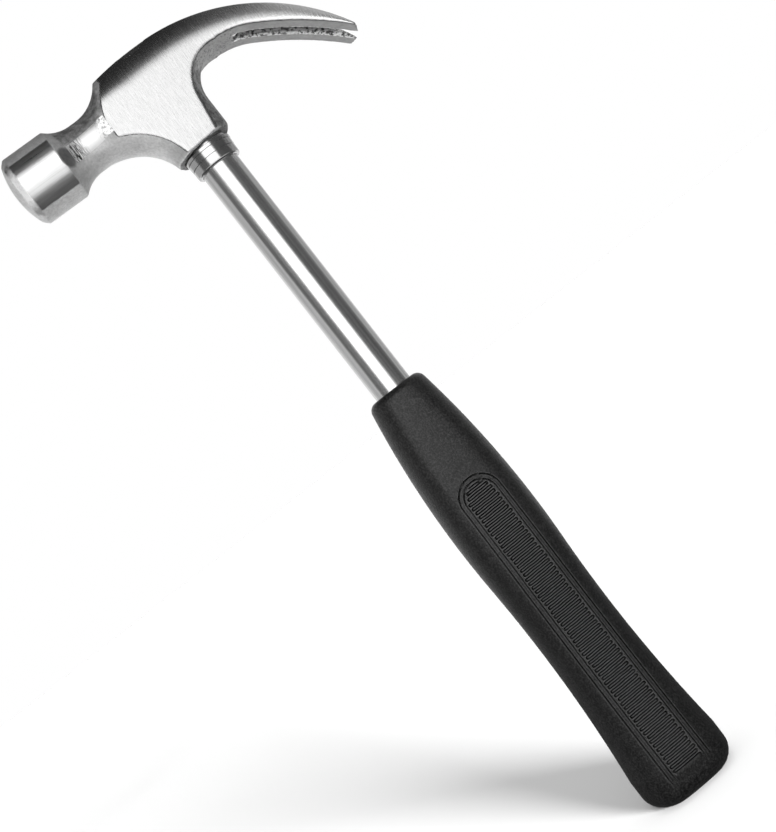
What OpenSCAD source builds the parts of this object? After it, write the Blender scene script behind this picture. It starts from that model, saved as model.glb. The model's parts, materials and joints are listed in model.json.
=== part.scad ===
// Curved claw hammer: a drop-forged head on a steel tube handle with a moulded rubber grip.
// Millimetres. The handle runs along +Z and the flat butt of the grip is at z = 0.
// The claw points to +X, the striking face to -X, and the cheeks face -Y and +Y.

/* [Overall] */
// Height from the flat butt to the highest point of the head
overall_h = 327; // [310:1:360]

/* [Striking face] */
// Distance from the handle axis to the middle of the striking face
face_reach = 63.7; // [60:0.1:70]
// Diameter of the poll behind the face
poll_d = 26.8; // [25:0.1:29]
// Depth of the poll axis below the top of the head
poll_drop = 18.2; // [17:0.1:20]
// Height of the face's crown
face_crown = 2.2; // [0.8:0.1:3]
// Chamfer round the face
face_chamfer = 1.9; // [0.8:0.1:2.6]

/* [Neck] */
// Diameter of the neck at its waist
neck_d = 19.2; // [18:0.1:20.5]
// Distance from the handle axis to the end of the waist nearest the cheeks
neck_reach = 31.5; // [30:0.1:34]
// Length of the plain waist
neck_len = 2.5; // [1:0.1:4]
// Radius of the fillet from the waist up to the poll
neck_poll_r = 13; // [11:0.1:15]
// Radius of the flare from the waist up to the cheeks
neck_cheek_r = 16; // [14:0.1:18]
// Width across the two hollow-ground flats of the neck
neck_flat_w = 18.3; // [17:0.1:19]
// Distance from the handle axis to the poll end of the flats
neck_flat_reach = 39.6; // [38:0.1:41]

/* [Cheeks and crown] */
// Thickness across the cheeks and the claw
cheek_w = 21; // [20:0.1:23]
// Rounding between the crown and each cheek
crown_round = 6.5; // [4:0.1:8]
// Distance from the handle axis to the highest point of the crown
crown_peak = 2.5; // [1:0.1:5]
// Radius of the crown over the claw
crown_claw_r = 74; // [73:0.1:78]
// Radius that the rounding follows over the claw, so that it runs out towards the tip
crown_fade_r = 100; // [85:1:140]
// Radius of the crown over the cheeks
crown_cheek_r = 110; // [95:1:140]

/* [Socket boss] */
// Depth of the boss's underside below the top of the head
boss_drop = 43; // [41:0.1:46]
// Distance from the handle axis to the back of the boss
boss_back = 11.8; // [11.6:0.1:13]
// Lean of the underside, rising towards the claw, in degrees
boss_lean = 5; // [0:0.5:7]
// Rounding of the lower front and back edges of the boss
boss_round = 2.2; // [1:0.1:2.8]
// Radius of the throat between neck and boss
throat_r = 20.2; // [18:0.1:23]
// How far the throat falls back from its middle to the cheeks
throat_fall = 4.9; // [3.5:0.1:6]

/* [Claw] */
// Distance from the handle axis to the tip of the claw
claw_reach = 69.2; // [66:0.1:69.4]
// Radius of the tip's rounded end, seen from above
tip_r = 28; // [22:0.5:40]
// Distance from the handle axis to the highest point of the hook
hook_reach = 25; // [23.5:0.1:27]
// Depth of the hook's highest point below the top of the head
hook_drop = 16.2; // [15.5:0.1:17]
// How far the hook falls back from its middle to the cheeks, behind the boss
hook_fall = 2.8; // [1:0.1:4]
// Radius under the root of the claw
claw_root_r = 29; // [26:0.5:33]
// Turn of that root curve, in degrees
claw_root_turn = 28.4; // [26:0.2:31]
// Radius under the long part of the claw
claw_under_r = 125; // [115:1:135]

/* [Nail slot] */
// Distance from the handle axis to the closed end of the slot
slot_reach = 33.5; // [31:0.1:38]
// Width of the slot at its closed end
slot_root_w = 2.6; // [1.8:0.1:3.4]
// Width of the slot at the tip
slot_mouth_w = 5; // [4.2:0.1:5.6]
// Width of the bevelled edges of the slot, on the underside
slot_bevel_w = 6.6; // [6:0.1:8]
// Depth of those bevels
slot_bevel_d = 2.4; // [1.5:0.1:3]

/* [Handle tube] */
// Outside diameter of the tube
tube_d = 14.8; // [14:0.1:15.6]
// Wall of the tube
tube_wall = 1.8; // [1.2:0.1:2.4]
// Height of the tube's lower end above the butt
tube_foot = 12; // [8:0.5:20]
// Gap all round the tube in the eye, the collar and the grip
tube_gap = 0.05; // [0.02:0.01:0.1]

/* [Collar] */
// Diameter of the collar at its upper band
collar_d = 19; // [18.4:0.1:20]
// Length of the collar below the boss, on the handle axis
collar_len = 8.4; // [7:0.1:12]
// Step in diameter from each band of the collar to the next one down
collar_step = 0.5; // [0.2:0.1:0.8]
// Rounding of the collar's lower rim
collar_rim = 0.8; // [0.4:0.1:1]
// Depth of the seat that takes the collar's upper end
collar_seat = 1.6; // [1.2:0.1:2.5]
// Radius of the turned grooves
collar_groove_r = 0.35; // [0.2:0.05:0.5]

/* [Eye plug] */
// Length of the plug that spreads the tube in the eye
plug_len = 22; // [14:0.5:30]
// Gap all round the plug in the tube
plug_gap = 0.05; // [0.02:0.01:0.1]

/* [Grip] */
// Length of the grip
grip_len = 175.4; // [168:0.2:190]
// Width at the upper swell
swell_w = 32.9; // [31:0.1:35]
// Thickness at the upper swell
swell_t = 26.6; // [25:0.1:29]
// Height of the swell above the butt
swell_z = 115.1; // [111:0.1:119]
// Width at the waist
waist_w = 30.6; // [29.4:0.1:31.4]
// Thickness at the waist
waist_t = 25; // [24:0.1:25.6]
// Height of the waist above the butt
waist_z = 70.2; // [67:0.1:73]
// Radius of the hollow at the waist
waist_r = 530; // [450:5:620]
// Greatest width at the butt
butt_w = 36.8; // [35.5:0.1:38]
// Greatest thickness at the butt
butt_t = 31; // [30:0.1:32]
// Rounding of the butt's edge
butt_round = 6.5; // [4:0.1:8]
// Lean of the grip's outside towards the striking face, in degrees
grip_lean = 0.45; // [0:0.05:0.8]
// Rounding of the upper end
shoulder_round = 2.8; // [1.5:0.1:3.2]

/* [Side panels] */
// Height of the arch's crown above the butt
panel_top = 135.3; // [125:0.1:142]
// Width across the outer groove
panel_w = 17.4; // [15:0.1:19]
// Distance between the outer and the inner groove
panel_border = 1.9; // [1.4:0.1:2.4]
// Width of the two border grooves
groove_w = 0.8; // [0.5:0.1:1.1]
// Depth of the grooves
groove_d = 0.7; // [0.3:0.1:1]
// Height of the lowest rib groove above the butt
rib_foot = 11.1; // [9:0.1:16]
// Spacing of the rib grooves
rib_pitch = 1.8; // [1.4:0.1:3]
// Width of the rib grooves
rib_w = 0.9; // [0.5:0.1:1.2]
// Margin between the rib grooves and the inner border groove
rib_margin = 0.7; // [0.4:0.1:1.2]

/* [Hidden] */
$fn = 96;

// Overlap that lets cutters run past the faces that they cut
eps = 0.5;
// Half thickness of the cheeks, and half sizes of the round forms
cheek_h = cheek_w / 2;
poll_r = poll_d / 2;
neck_r = neck_d / 2;
tube_r = tube_d / 2;
collar_r = collar_d / 2;
// Heights of the head's own features
poll_z = overall_h - poll_drop;
boss_z = overall_h - boss_drop;
hook_z = overall_h - hook_drop;
// Sphere of the striking face and the height of its edge along the poll
face_edge_r = poll_r - face_chamfer;
face_ball_r = (face_edge_r * face_edge_r + face_crown * face_crown) / (2 * face_crown);
face_edge = face_reach - face_crown;
// Middle and radius of the wheel that hollows the neck's flats, from where the flare passes the cheeks
flat_mid = neck_reach + neck_len / 2;
flat_in = cheek_h - neck_flat_w / 2;
crease_reach = flare_reach(cheek_h + 2 * eps);
flat_run = flat_mid - crease_reach;
flat_wheel_r = (flat_run * flat_run + flat_in * flat_in) / (2 * flat_in);
// The throat is the inside of a bend whose bar is round to this radius
throat_bar_r = (cheek_h * cheek_h + throat_fall * throat_fall) / (2 * throat_fall);
throat_x = -neck_reach;
throat_z = poll_z - neck_r - throat_r;
// The hook is cut by two cylinders that lean away from each other at the middle
hook_yaw = atan(hook_fall / cheek_h);
hook_r = (hook_reach - boss_back) * cos(hook_yaw);
// The curve under the claw: a root arc, then a long arc that starts where the root arc ends
root_z = hook_z - claw_root_r;
under_x = hook_reach + (claw_root_r - claw_under_r) * sin(claw_root_turn);
under_z = root_z + (claw_root_r - claw_under_r) * cos(claw_root_turn);
// The tip lies on the long arc under the claw
tip_turn = asin((claw_reach - under_x) / claw_under_r);
tip_z = under_z + claw_under_r * cos(tip_turn);
// The slot's closed end lies on the long arc under the claw
slot_turn = asin((slot_reach - under_x) / claw_under_r);
slot_z = under_z + claw_under_r * cos(slot_turn);
slot_run = norm([claw_reach - slot_reach, slot_z - tip_z]);
slot_slope = atan2(slot_z - tip_z, claw_reach - slot_reach);
slot_end = slot_run + cheek_h;
// Length, width, height and lowest level of the cutters that pass right through the head
head_span = face_reach + claw_reach;
cutter_w = 2 * cheek_w;
cutter_h = 3 * boss_drop;
cutter_foot = boss_z - boss_drop;
// Heights of the collar
collar_foot = boss_z - collar_len;
collar_head = boss_z + collar_seat;
collar_h = collar_head - collar_foot;
// Straight steps that the formula of the grip's outline is drawn with
grip_steps = 36;

// Distance from the handle axis at which the flare of the neck has the given radius
function flare_reach(radius) =
    neck_reach - sqrt(2 * neck_cheek_r * (radius - neck_r) - pow(radius - neck_r, 2));

// Keeps the part of an outline that lies beyond x, towards the claw
module right_of(x) {
    intersection() {
        children();
        translate([x, 0]) square([head_span, overall_h]);
    }
}

// Stands an outline drawn in x and z upright, centred on y = 0
module stand(width) {
    rotate([90, 0, 0]) linear_extrude(width, center = true) children();
}

// Turns an outline drawn as radius and y about an axis along Y through x and z
module spin_about(x, z) {
    translate([x, 0, z]) rotate([-90, 0, 0]) rotate_extrude($fn = 180) children();
}

// Half outline of the poll and neck: radius across, distance from the handle axis upwards
module poll_outline() {
    neck_end = neck_reach + neck_len;
    difference() {
        polygon([[0, neck_end], [poll_r, neck_end], [poll_r, face_edge - face_chamfer],
            [face_edge_r, face_edge], [0, face_edge]]);
        translate([neck_r + neck_poll_r, neck_end]) circle(neck_poll_r);
    }
    intersection() {
        translate([0, face_reach - face_ball_r]) circle(face_ball_r);
        translate([0, face_edge]) square([poll_r, face_crown + eps]);
    }
    translate([0, neck_reach - eps]) square([neck_r, neck_len + 2 * eps]);
    difference() {
        square([neck_r + neck_cheek_r, neck_reach]);
        translate([neck_r + neck_cheek_r, neck_reach]) circle(neck_cheek_r);
    }
}

// Crown section with its two rounded edges, radius across and y upwards
module crown_section(radius) {
    flat = cheek_h - crown_round;
    translate([0, -cheek_h]) square([radius - crown_round, cheek_w]);
    translate([0, -flat]) square([radius, 2 * flat]);
    for (side = [-1, 1]) translate([radius - crown_round, side * flat]) circle(crown_round);
}

// Everything below the crown, between the cheeks
module crown_envelope() {
    intersection() {
        spin_about(crown_peak, overall_h - crown_claw_r)
            translate([0, -cheek_w / 2]) square([crown_claw_r, cheek_w]);
        spin_about(crown_peak, overall_h - crown_fade_r) crown_section(crown_fade_r);
        translate([crown_peak, -cheek_w, cutter_foot]) cube([head_span, cutter_w, cutter_h]);
    }
    intersection() {
        spin_about(crown_peak, overall_h - crown_cheek_r) crown_section(crown_cheek_r);
        translate([crown_peak - head_span, -cheek_w, cutter_foot]) cube([head_span, cutter_w, cutter_h]);
    }
}

// Side outline of cheeks, boss and claw before the throat and the hook are cut
module cheek_outline() {
    front = neck_reach - neck_cheek_r + 2 * eps;
    low_front = flare_reach(cheek_h + throat_fall / 2);
    difference() {
        union() {
            translate([-front, cutter_foot]) square([front + head_span, overall_h - cutter_foot]);
            translate([-low_front, cutter_foot]) square([low_front, poll_z - cutter_foot]);
        }
        translate([0, boss_z]) rotate(boss_lean) {
            translate([-head_span, -head_span]) square([head_span + hook_reach, head_span]);
            boss_corner(boss_back / cos(boss_lean));
            mirror([1, 0]) boss_corner((neck_reach - throat_r) / cos(boss_lean));
        }
    }
}

// Waste outside the rounded lower edge of the boss, at a distance from the handle axis
module boss_corner(reach) {
    translate([reach - boss_round, 0]) difference() {
        translate([0, -eps]) square([hook_reach - reach + boss_round, boss_round + eps]);
        translate([0, boss_round]) circle(boss_round);
    }
}

// Clears the space under the claw, from the hook's highest point to the tip
module claw_clearance() {
    stand(cutter_w) {
        right_of(hook_reach) translate([hook_reach, root_z]) circle(claw_root_r, $fn = 180);
        right_of(hook_reach + claw_root_r * sin(claw_root_turn))
            translate([under_x, under_z]) circle(claw_under_r, $fn = 360);
        translate([hook_reach, cutter_foot])
            square([claw_root_r * sin(claw_root_turn), root_z - cutter_foot]);
    }
}

// Rounds the end of the claw, seen square to its underside
module tip_clearance() {
    translate([claw_reach, 0, tip_z]) rotate([0, tip_turn, 0]) difference() {
        translate([-tip_r / 2, -cheek_w, -boss_drop / 2]) cube([tip_r, cutter_w, boss_drop]);
        translate([-tip_r, 0, 0]) cylinder(r = tip_r, h = cutter_h, center = true, $fn = 180);
    }
}

// Clears the hook behind the boss on one side of the middle
module hook_clearance(side) {
    intersection() {
        translate([hook_reach, 0, hook_z - hook_r]) rotate([0, 0, side * hook_yaw]) {
            rotate([90, 0, 0]) cylinder(r = hook_r, h = 2 * cutter_w, center = true);
            translate([-hook_r, -cutter_w, -boss_drop])
                cube([hook_r + claw_root_r, 2 * cutter_w, boss_drop]);
        }
        translate([0, side > 0 ? 0 : -cheek_w, cutter_foot]) cube([hook_reach, cheek_w, cutter_h]);
    }
}

// Clears the throat, deeper towards the cheeks so that its edge there falls back
module throat_clearance() {
    reach = throat_r + throat_bar_r;
    intersection() {
        spin_about(throat_x, throat_z) difference() {
            translate([0, -cheek_h - eps]) square([reach, cheek_w + 2 * eps]);
            translate([reach, 0]) circle(throat_bar_r, $fn = 180);
        }
        translate([throat_x, -cheek_w, throat_z - reach]) cube([reach, cutter_w, 2 * reach]);
    }
}

// Hollow flats ground into the sides of the neck
module neck_flats() {
    for (side = [-1, 1]) intersection() {
        translate([-flat_mid, side * (neck_flat_w / 2 + flat_wheel_r), poll_z])
            cylinder(r = flat_wheel_r, h = poll_d, center = true, $fn = 360);
        translate([-neck_flat_reach, -cheek_w, poll_z - poll_r])
            cube([neck_flat_reach - crease_reach + eps, cutter_w, poll_d]);
    }
}

// V slot through the claw, with bevelled edges along the underside
module nail_slot() {
    root_h = slot_root_w / 2;
    end_h = root_h + (slot_mouth_w - slot_root_w) / 2 * slot_end / slot_run;
    translate([slot_reach, 0, slot_z]) rotate([0, slot_slope, 0]) linear_extrude(boss_drop, center = true) {
        circle(root_h);
        polygon([[0, -root_h], [slot_end, -end_h], [slot_end, end_h], [0, root_h]]);
    }
    intersection() {
        spin_about(under_x, under_z) polygon([[claw_under_r - slot_bevel_d, -slot_bevel_w],
            [claw_under_r + slot_bevel_d, 0], [claw_under_r - slot_bevel_d, slot_bevel_w]]);
        translate([slot_reach, -cheek_w, cutter_foot]) cube([head_span, cutter_w, cutter_h]);
    }
}

// Round bar along the handle axis, ground off flush with the crown
module eye_bar(radius, length) {
    intersection() {
        translate([0, 0, overall_h - length]) cylinder(r = radius, h = length + eps);
        crown_envelope();
    }
}

// Drop-forged head with a polished crown, cheeks and poll
module head() {
    color("silver") difference() {
        union() {
            intersection() {
                crown_envelope();
                union() {
                    stand(cheek_w + 2 * eps) cheek_outline();
                    translate([0, 0, poll_z]) rotate([0, -90, 0]) rotate_extrude() poll_outline();
                }
            }
            translate([0, 0, poll_z]) rotate([0, -90, 0]) rotate_extrude() intersection() {
                poll_outline();
                translate([0, neck_reach + neck_len / 2]) square([poll_r + eps, head_span]);
            }
        }
        throat_clearance();
        hook_clearance(-1);
        hook_clearance(1);
        claw_clearance();
        tip_clearance();
        neck_flats();
        nail_slot();
        translate([0, 0, cutter_foot]) cylinder(r = tube_r + tube_gap, h = cutter_h);
        translate([0, 0, collar_head - boss_drop]) cylinder(r = collar_r + tube_gap, h = boss_drop);
    }
}

// Seamless steel tube from the grip's closed end to the crown
module handle_tube() {
    color("gainsboro") difference() {
        union() {
            translate([0, 0, tube_foot]) cylinder(r = tube_r, h = collar_foot - tube_foot);
            eye_bar(tube_r, overall_h - collar_foot + eps);
        }
        translate([0, 0, tube_foot - eps]) cylinder(r = tube_r - tube_wall, h = overall_h);
    }
}

// Turned steel collar that closes the joint between head and tube
module collar() {
    foot_r = collar_r - collar_step;
    color("darkgray") difference() {
        rotate_extrude() difference() {
            union() {
                translate([0, collar_foot]) square([foot_r - collar_rim, collar_h]);
                translate([0, collar_foot + collar_rim]) square([foot_r, collar_h - collar_rim]);
                translate([foot_r - collar_rim, collar_foot + collar_rim]) circle(collar_rim);
                for (i = [1:2]) translate([0, collar_foot + i * collar_h / 3])
                    square([foot_r + i * collar_step / 2, collar_h * (3 - i) / 3]);
            }
            for (i = [1:2]) translate([foot_r + i * collar_step / 2, collar_foot + i * collar_h / 3])
                circle(collar_groove_r);
        }
        translate([0, 0, collar_foot - eps]) cylinder(r = tube_r + tube_gap, h = collar_h + 2 * eps);
    }
}

// Plug driven into the upper end of the tube to spread it in the eye
module eye_plug() {
    color("dimgray") eye_bar(tube_r - tube_wall - plug_gap, plug_len);
}

// Half size of the grip at height z: a hollow round the waist that runs into the arc of the swell
function grip_half(z, swell, waist) =
    let (step = swell - waist)
    let (rise = swell_z - waist_z)
    let (both_r = (step * step + rise * rise) / (2 * step))
    let (swell_r = both_r - waist_r)
    z > waist_z + rise * waist_r / both_r
        ? swell - swell_r + sqrt(pow(swell_r, 2) - pow(z - swell_z, 2))
        : waist + waist_r - sqrt(pow(waist_r, 2) - pow(z - waist_z, 2));

// Half outline of the grip, half size across and height upwards, with both ends rounded
module grip_profile(swell, waist, butt) {
    top = grip_half(grip_len, swell, waist);
    intersection() {
        polygon(concat([[0, 0]],
            [for (i = [0:grip_steps]) let (z = grip_len * i / grip_steps)
                [min(butt, grip_half(z, swell, waist)), z]],
            [[0, grip_len]]));
        union() {
            translate([0, butt_round]) square([butt, grip_len - butt_round - shoulder_round]);
            square([butt - butt_round, butt_round + eps]);
            translate([butt - butt_round, butt_round]) circle(butt_round);
            translate([0, grip_len - shoulder_round - eps])
                square([top - shoulder_round, shoulder_round + eps]);
            translate([top - shoulder_round, grip_len - shoulder_round]) circle(shoulder_round);
        }
    }
}

// The two sides of the grip as one upright slab, less a skin of the given depth
module grip_sides(depth) {
    rotate([0, 0, 90]) stand(2 * butt_w) for (side = [0, 1]) mirror([side, 0])
        grip_profile(swell_t / 2 - depth, waist_t / 2 - depth, butt_t / 2 - depth);
}

// Arched outline that stays open towards the butt
module panel_arch(width, top) {
    translate([0, top - width / 2]) circle(d = width);
    translate([-width / 2, -eps]) square([width, top - width / 2 + eps]);
}

// Grooves of one side panel: two arched borders and the rib grooves inside them
module panel_grooves() {
    inner_w = panel_w - 2 * panel_border;
    inner_top = panel_top - panel_border;
    rib_area_w = inner_w - 2 * groove_w - 2 * rib_margin;
    rib_area_top = inner_top - groove_w - rib_margin;
    for (i = [0, 1]) difference() {
        panel_arch(panel_w - 2 * i * panel_border, panel_top - i * panel_border);
        panel_arch(panel_w - 2 * i * panel_border - 2 * groove_w, panel_top - i * panel_border - groove_w);
        translate([-panel_w, -2 * eps]) square([2 * panel_w, butt_round + 2 * eps]);
    }
    for (z = [rib_foot:rib_pitch:rib_area_top - rib_area_w / 2])
        translate([-rib_area_w / 2, z]) square([rib_area_w, rib_w]);
}

// Outside of the grip: a turned form with two flatter sides, and a grooved panel on each
module grip_form() {
    difference() {
        intersection() {
            rotate_extrude($fn = 180) grip_profile(swell_w / 2, waist_w / 2, butt_w / 2);
            grip_sides(0);
        }
        difference() {
            stand(butt_w) panel_grooves();
            grip_sides(groove_d);
        }
    }
}

// Rubber sleeve with a closed butt, pushed over the tube
module grip() {
    sink = butt_w / 2 * sin(grip_lean);
    color([0.11, 0.11, 0.12]) difference() {
        translate([0, 0, grip_len - sink]) rotate([0, grip_lean, 0]) translate([0, 0, -grip_len])
            grip_form();
        translate([-butt_w, -butt_w, -butt_w]) cube([2 * butt_w, 2 * butt_w, butt_w]);
        translate([0, 0, tube_foot]) cylinder(r = tube_r + tube_gap, h = grip_len);
    }
}

head();
handle_tube();
collar();
eye_plug();
grip();
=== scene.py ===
import json
import math

import bpy
import numpy as np
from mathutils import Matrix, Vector, noise

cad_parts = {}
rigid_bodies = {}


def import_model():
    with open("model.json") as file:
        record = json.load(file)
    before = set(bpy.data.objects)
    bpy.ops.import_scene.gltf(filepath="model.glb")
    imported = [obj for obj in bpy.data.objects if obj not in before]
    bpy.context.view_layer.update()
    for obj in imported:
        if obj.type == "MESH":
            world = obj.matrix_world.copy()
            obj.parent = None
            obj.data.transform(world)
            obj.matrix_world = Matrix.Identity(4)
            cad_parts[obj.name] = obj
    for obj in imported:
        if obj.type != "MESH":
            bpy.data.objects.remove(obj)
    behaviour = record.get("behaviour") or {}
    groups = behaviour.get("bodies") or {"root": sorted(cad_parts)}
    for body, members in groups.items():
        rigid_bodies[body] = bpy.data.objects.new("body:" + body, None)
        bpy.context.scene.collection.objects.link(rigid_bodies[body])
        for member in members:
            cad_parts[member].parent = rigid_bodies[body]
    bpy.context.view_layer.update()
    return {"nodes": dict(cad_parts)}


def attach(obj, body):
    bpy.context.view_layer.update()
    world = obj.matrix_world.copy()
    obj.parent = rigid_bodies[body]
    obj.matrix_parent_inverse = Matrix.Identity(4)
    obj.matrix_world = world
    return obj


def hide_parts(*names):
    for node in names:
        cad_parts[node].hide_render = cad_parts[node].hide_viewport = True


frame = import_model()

# Head: one drop forging of tool steel, split into a curved claw, with an eye that the tube runs up through.
# The cheeks, the crown and the sides of the poll are ground and buffed bright; the neck, the throat and the
# underside of the claw stay satin grey as forged. Sizes are in millimetres from the middle of the butt.
MM = 0.001
MERGE = 0.001
HEAD_GRAIN = 0.425
EDGE_SOFTENING, SOFTENING_FACTOR = 5, 0.5
HEAD_TOP = 327.0
CHEEK_HALF = 10.5
POLL_AXIS_Z = 308.8
CROWN_PEAK, CROWN_CHEEK_R, CROWN_CLAW_R = 2.5, 110.0, 74.0
CROWN_ROLL, CROWN_FLAT = 13.0, 3.0
FRONT_LESS, FRONT_SPAN = 4.0, (8.0, 24.0)
TIP_ROLL, TIP_FLAT, ROLL_FADE = 1.0, 9.5, 1.5
CLAW_SWEEP = math.radians(64)
NECK_END = -27.0
HOOK_X, HOOK_Z, HOOK_R, HOOK_TOP = 25.0, 298.0, 12.75, 308.0
BOSS_FOOT, BOSS_FALL, BOSS_FADE, BOSS_DRAFT = 284.0, 6.0, 45.0, 0.03
CRISP_SHOULDER, CRISP_RIM, CRISP_FADE = (-44.5, -38.0), -57.0, 1.0
CRISP_EYE_R, CRISP_EYE_FADE, CRISP_EYE_Z = 9.2, 0.8, (310.0, 311.0)


def select_only(piece):
    if bpy.context.object and bpy.context.object.mode != "OBJECT":
        bpy.ops.object.mode_set(mode="OBJECT")
    bpy.ops.object.select_all(action="DESELECT")
    piece.select_set(True)
    bpy.context.view_layer.objects.active = piece


def edit_all(piece):
    select_only(piece)
    bpy.ops.object.mode_set(mode="EDIT")
    bpy.ops.mesh.select_all(action="SELECT")


def copy_of_node(node, name):
    piece = bpy.data.objects.new(name, frame["nodes"][node].data.copy())
    bpy.context.scene.collection.objects.link(piece)
    piece.data.materials.clear()
    edit_all(piece)
    bpy.ops.mesh.remove_doubles(threshold=MERGE * MM)
    bpy.ops.object.mode_set(mode="OBJECT")
    return piece


def apply_modifier(piece, kind, **settings):
    select_only(piece)
    modifier = piece.modifiers.new(kind.lower(), kind)
    for key, value in settings.items():
        setattr(modifier, key, value)
    bpy.ops.object.modifier_apply(modifier=modifier.name)


def keep_joined_to(piece, corner):
    """Deletes what isn't joined to a corner of a piece, such as specks that a remesh leaves in a hole."""
    edit_all(piece)
    bpy.ops.mesh.select_all(action="DESELECT")
    bpy.ops.object.mode_set(mode="OBJECT")
    piece.data.vertices[corner].select = True
    bpy.ops.object.mode_set(mode="EDIT")
    bpy.ops.mesh.select_linked()
    bpy.ops.mesh.select_all(action="INVERT")
    bpy.ops.mesh.delete(type="VERT")
    bpy.ops.object.mode_set(mode="OBJECT")


def corner_data(piece):
    """Places in millimetres and normals of the corners of a piece."""
    count = len(piece.data.vertices)
    place = np.empty(count * 3)
    normal = np.empty(count * 3)
    piece.data.vertices.foreach_get("co", place)
    piece.data.vertices.foreach_get("normal", normal)
    return place.reshape(-1, 3) / MM, normal.reshape(-1, 3)


def place_corners(piece, at):
    piece.data.vertices.foreach_set("co", (at * MM).ravel())
    piece.data.update()


def paint(piece, name, values):
    layer = piece.data.attributes.new(name, "FLOAT", "POINT")
    layer.data.foreach_set("value", np.clip(values, 0.0, 1.0).astype(np.float32))


def ramp(value, low, high):
    return np.clip((value - low) / (high - low), 0.0, 1.0)


def between(value, low, high, fade):
    return ramp(value - low, 0.0, fade) * ramp(high - value, 0.0, fade)


def crown_arc_r(x):
    return np.where(x > CROWN_PEAK, CROWN_CLAW_R, CROWN_CHEEK_R)


def rolled_half(x, z):
    """Half width that the roll of the crown's edges leaves; it is tighter at the front and at the tip."""
    arc_r = crown_arc_r(x)
    depth = np.maximum(arc_r - np.hypot(x - CROWN_PEAK, z - HEAD_TOP + arc_r), 0.0)
    along_claw = ramp(np.arctan2(x - CROWN_PEAK, z - HEAD_TOP + CROWN_CLAW_R), 0.0, CLAW_SWEEP)
    roll = CROWN_ROLL + (TIP_ROLL - CROWN_ROLL) * along_claw ** ROLL_FADE
    roll -= FRONT_LESS * ramp(-x, *FRONT_SPAN)
    flat = CROWN_FLAT + (TIP_FLAT - CROWN_FLAT) * along_claw
    bulge = np.sqrt(1.0 - (1.0 - ramp(depth, 0.0, roll)) ** 2)
    return np.where(x > NECK_END, flat + (CHEEK_HALF - flat) * bulge, np.inf)


def boss_back(y, z):
    """How far the boss reaches under the claw: the hook's arc, drawn in on both flanks to round the tube."""
    rise = np.clip(z - HOOK_Z, 0.0, HOOK_R)
    hook = np.where(z < HOOK_Z, HOOK_R + BOSS_DRAFT * (HOOK_Z - z), np.sqrt(HOOK_R ** 2 - rise ** 2))
    fall = BOSS_FALL * (1.0 - (z - BOSS_FOOT) / BOSS_FADE)
    return HOOK_X - hook - fall * (np.abs(y) / CHEEK_HALF) ** 2


head = copy_of_node("head", "head_forging")
apply_modifier(head, "REMESH", mode="VOXEL", voxel_size=HEAD_GRAIN * MM)
at = corner_data(head)[0]
x, y, z = at.T
y[:] = np.sign(y) * np.minimum(np.abs(y), rolled_half(x, z))
on_boss = (x < HOOK_X) & (z < HOOK_TOP)
x[:] = np.where(on_boss, np.minimum(x, boss_back(y, z)), x)
place_corners(head, at)
apply_modifier(head, "REMESH", mode="VOXEL", voxel_size=HEAD_GRAIN * MM)

x, y, z = corner_data(head)[0].T
crisp_eye = ramp(CRISP_EYE_R - np.hypot(x, y), 0.0, CRISP_EYE_FADE) * ramp(z, *CRISP_EYE_Z)
crisp_rim = ramp(CRISP_RIM - x, 0.0, CRISP_FADE)
crisp = np.maximum.reduce([between(x, *CRISP_SHOULDER, CRISP_FADE), crisp_rim, crisp_eye])
soften = head.vertex_groups.new(name="soften")
for corner, share in enumerate(1.0 - crisp):
    soften.add([corner], share, "REPLACE")
apply_modifier(head, "SMOOTH", factor=SOFTENING_FACTOR, iterations=EDGE_SOFTENING, vertex_group=soften.name)
on_face = int(np.argmin(corner_data(head)[0][:, 0]))
keep_joined_to(head, on_face)
bpy.ops.object.shade_smooth()

# The finishes of the head are painted on its corners: where it is buffed, the burr along the buffed edges,
# the sandy nail slot, and how light or dark the forged skin is from the face to the hook. That last is partly
# painted light and shade: lighter undersides, darker tops, a painted highlight on the rim of the face, and
# painted shade under the claw, under the boss and deep in the slot.
CREASE_X, CREASE_BLUR = -22.9, 0.3
CREASE_LEAN, CREASE_CURVE, CREASE_SPAN = 6.5, 1.4, (309.0, 322.0)
CHEEK_FACING, CROWN_FACING = (0.6, 0.7), (-0.1, 0.1)
LOW_EDGE_TRIM, LOW_EDGE_FACING, LOW_EDGE_SPAN = 0.28, (0.05, 0.2), (-20.0, -12.0)
HOOK_SKIN_FACING, HOOK_SKIN_TOP = (0.2, 0.3), 312.0
CLAW_X, CLAW_SLANT, CLAW_BLUR = 27.0, 0.9, 0.5
LIP_SPAN, LIP_HALF, LIP_BLUR = (30.0, 31.0), 4.4, 0.4
SLOT_SPAN, SLOT_HALF, SLOT_BLUR = (31.5, 32.5), 3.9, 0.3
SLOT_FACING = (-0.5, -0.3)
SLOT_FLOOR_HALF, SLOT_FLOOR_BLUR = 2.7, 0.4
SAND_FINENESS, SAND_RELIEF = 1.1, 0.16
BURR_SPREAD = 2
SHADE_SPAN = 3.0
POLL_SHADE, POLL_TOP_SHADE, RIM_SHADE, FACE_SHADE = 1.8, 0.7, 2.9, 1.8
POLL_SPAN, RIM_SPAN, FACE_SPAN = (42.9, 43.3), (59.1, 59.6), (61.2, 61.8)
POLL_TOP_FACING = (0.2, 0.5)
BAND_MIDDLE, RIM_GLINT, RIM_DIP = -10.0, (-42.0, -16.0), 0.8
RIM_DIP_FROM, RIM_DIP_TO = (24.0, 42.0), (-56.0, -48.0)
NECK_TOP_SHADE, NECK_TOP_Z = 0.6, (310.0, 312.5)
NECK_FRONT, NECK_REAR = (-41.0, -40.0), (17.5, 20.0)
THROAT_SHADE, THROAT_FACING = 2.0, (0.1, 0.5)
THROAT_FRONT, THROAT_REAR = (-43.0, -30.0), (-12.0, -6.0)
HOOK_SHADE, HOOK_FACING = 0.5, (0.3, 0.6)
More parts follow.
